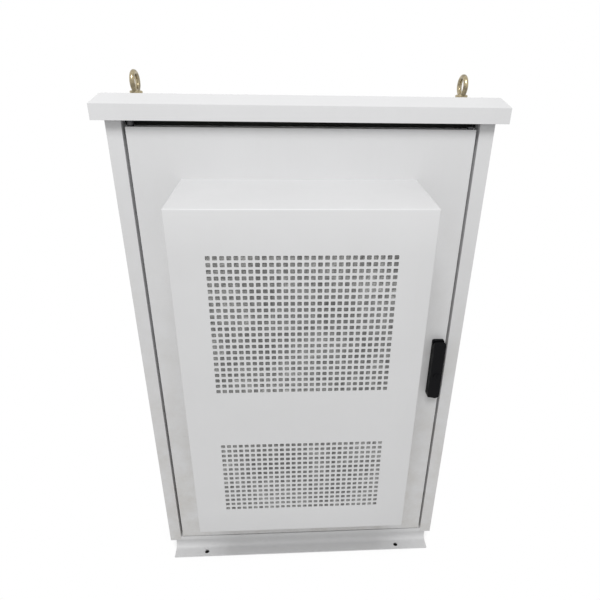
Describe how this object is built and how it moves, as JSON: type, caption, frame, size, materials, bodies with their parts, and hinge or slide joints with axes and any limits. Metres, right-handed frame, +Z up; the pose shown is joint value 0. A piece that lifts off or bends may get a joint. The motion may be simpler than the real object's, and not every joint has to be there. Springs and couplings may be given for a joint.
{
  "type": "outdoor equipment cabinet",
  "caption": "Free-standing outdoor sheet-metal cabinet with a sloping rain roof, lifting eyes, floor feet and a hinged door carrying a punched cooling-unit cover and swing handle.",
  "frame": {"origin": "on the floor, at the centre of the four anchor holes in the feet", "axes": "+Z up, -Y to the front of the door, +X to the handle side"},
  "size_m": [0.736, 0.491, 1.1721],
  "materials": {
    "coat": "light grey powder coat",
    "yellow_zinc": "yellow passivated zinc on steel",
    "zinc_steel": "bright zinc on steel",
    "bare_aluminium": "mill finish",
    "seal_rubber": "matt foam rubber",
    "black_coat": "satin black coat",
    "black_plastic": "moulded",
    "pale_plastic": "moulded",
    "bar_brass": "bare",
    "filter_fleece": "grey non-woven fleece"
  },
  "bodies": {
    "cabinet": {"left_side_panel": "coat", "right_side_panel": "coat", "rear_panel": "coat", "bottom_plate": "coat", "top_plate": "coat", "front_sill": "coat", "front_top_rail": "coat", "roof_cap": "coat", "lifting_eye_left": "yellow_zinc", "lifting_eye_right": "yellow_zinc", "lifting_eye_nuts": "yellow_zinc", "base_foot_front": "coat", "base_foot_rear": "coat", "foot_bolts": "zinc_steel", "hinge_pin_lower": "zinc_steel", "hinge_pin_upper": "zinc_steel", "rear_panel_screws": "zinc_steel", "gland_plate": "bare_aluminium", "gland_plate_screws": "zinc_steel", "mounting_plate": "zinc_steel", "plate_standoffs": "zinc_steel", "equipment_rail_upper": "zinc_steel", "equipment_rail_lower": "zinc_steel", "main_breaker": "pale_plastic", "branch_breakers": "pale_plastic", "terminal_blocks": "pale_plastic", "neutral_bar": "bar_brass", "earth_bar": "bar_brass", "bar_supports": "black_plastic"},
    "door": {"door_panel": "coat", "door_seal": "seal_rubber", "hinge_bush_lower": "zinc_steel", "hinge_bush_upper": "zinc_steel", "cooling_cover": "coat", "cover_screws": "zinc_steel", "filter_mats": "filter_fleece", "unit_chassis": "zinc_steel", "condenser_coil": "bare_aluminium", "fan_shroud": "zinc_steel", "fan_motor": "black_coat", "compressor": "black_coat", "refrigerant_pipes": "bar_brass", "inner_housing": "coat", "evaporator_coil": "bare_aluminium", "handle_base": "black_coat", "rod_guides": "black_plastic"},
    "fan": {"fan_rotor": "black_plastic"},
    "handle": {"handle_spindle": "zinc_steel", "lever_pin": "zinc_steel"},
    "lever": {"handle_lever": "black_coat"},
    "lock": {"lock_cylinder": "black_coat"},
    "rod_up": {"lock_rod_upper": "zinc_steel"},
    "rod_down": {"lock_rod_lower": "zinc_steel"},
    "main_switch": {"main_toggle": "black_plastic"},
    "branch_switch_1": {"branch_toggle_1": "black_plastic"},
    "branch_switch_2": {"branch_toggle_2": "black_plastic"},
    "branch_switch_3": {"branch_toggle_3": "black_plastic"},
    "branch_switch_4": {"branch_toggle_4": "black_plastic"}
  },
  "joints": [
    {"name": "door_hinge", "type": "hinge", "parent": "cabinet", "child": "door", "pos_m": [-0.308, -0.1415, 0.05], "axis": [0, 0, -1], "range_deg": [0, 115]},
    {"name": "handle_turn", "type": "hinge", "parent": "door", "child": "handle", "pos_m": [0.2985, -0.15, 0.627], "axis": [0, -1, 0], "range_deg": [0, 90]},
    {"name": "lever_lift", "type": "hinge", "parent": "handle", "child": "lever", "pos_m": [0.2985, -0.1643, 0.627], "axis": [-1, 0, 0], "range_deg": [0, 35]},
    {"name": "lock_turn", "type": "hinge", "parent": "lever", "child": "lock", "pos_m": [0.2985, -0.1713, 0.556], "axis": [0, -1, 0], "range_deg": [0, 90]},
    {"name": "rod_up_slide", "type": "slide", "parent": "door", "child": "rod_up", "axis": [0, 0, 1], "range_m": [0, 0.0135]},
    {"name": "rod_down_slide", "type": "slide", "parent": "door", "child": "rod_down", "axis": [0, 0, -1], "range_m": [0, 0.0135]},
    {"name": "fan_spin", "type": "hinge", "parent": "door", "child": "fan", "pos_m": [-0.0065, -0.23, 0.761], "axis": [0, 1, 0], "continuous": true},
    {"name": "main_switch_flip", "type": "hinge", "parent": "cabinet", "child": "main_switch", "pos_m": [-0.1536, 0.0545, 0.7805], "axis": [-1, 0, 0], "range_deg": [0, 70]},
    {"name": "branch_switch_1_flip", "type": "hinge", "parent": "cabinet", "child": "branch_switch_1", "pos_m": [-0.0384, 0.0545, 0.7805], "axis": [-1, 0, 0], "range_deg": [0, 70]},
    {"name": "branch_switch_2_flip", "type": "hinge", "parent": "cabinet", "child": "branch_switch_2", "pos_m": [-0.0203, 0.0545, 0.7805], "axis": [-1, 0, 0], "range_deg": [0, 70]},
    {"name": "branch_switch_3_flip", "type": "hinge", "parent": "cabinet", "child": "branch_switch_3", "pos_m": [-0.0022, 0.0545, 0.7805], "axis": [-1, 0, 0], "range_deg": [0, 70]},
    {"name": "branch_switch_4_flip", "type": "hinge", "parent": "cabinet", "child": "branch_switch_4", "pos_m": [0.0159, 0.0545, 0.7805], "axis": [-1, 0, 0], "range_deg": [0, 70]}
  ],
  "couplings": [
    {"joint": "rod_up_slide", "follows": "handle_turn", "m_per_rad": 0.008553},
    {"joint": "rod_down_slide", "follows": "handle_turn", "m_per_rad": 0.008553}
  ]
}
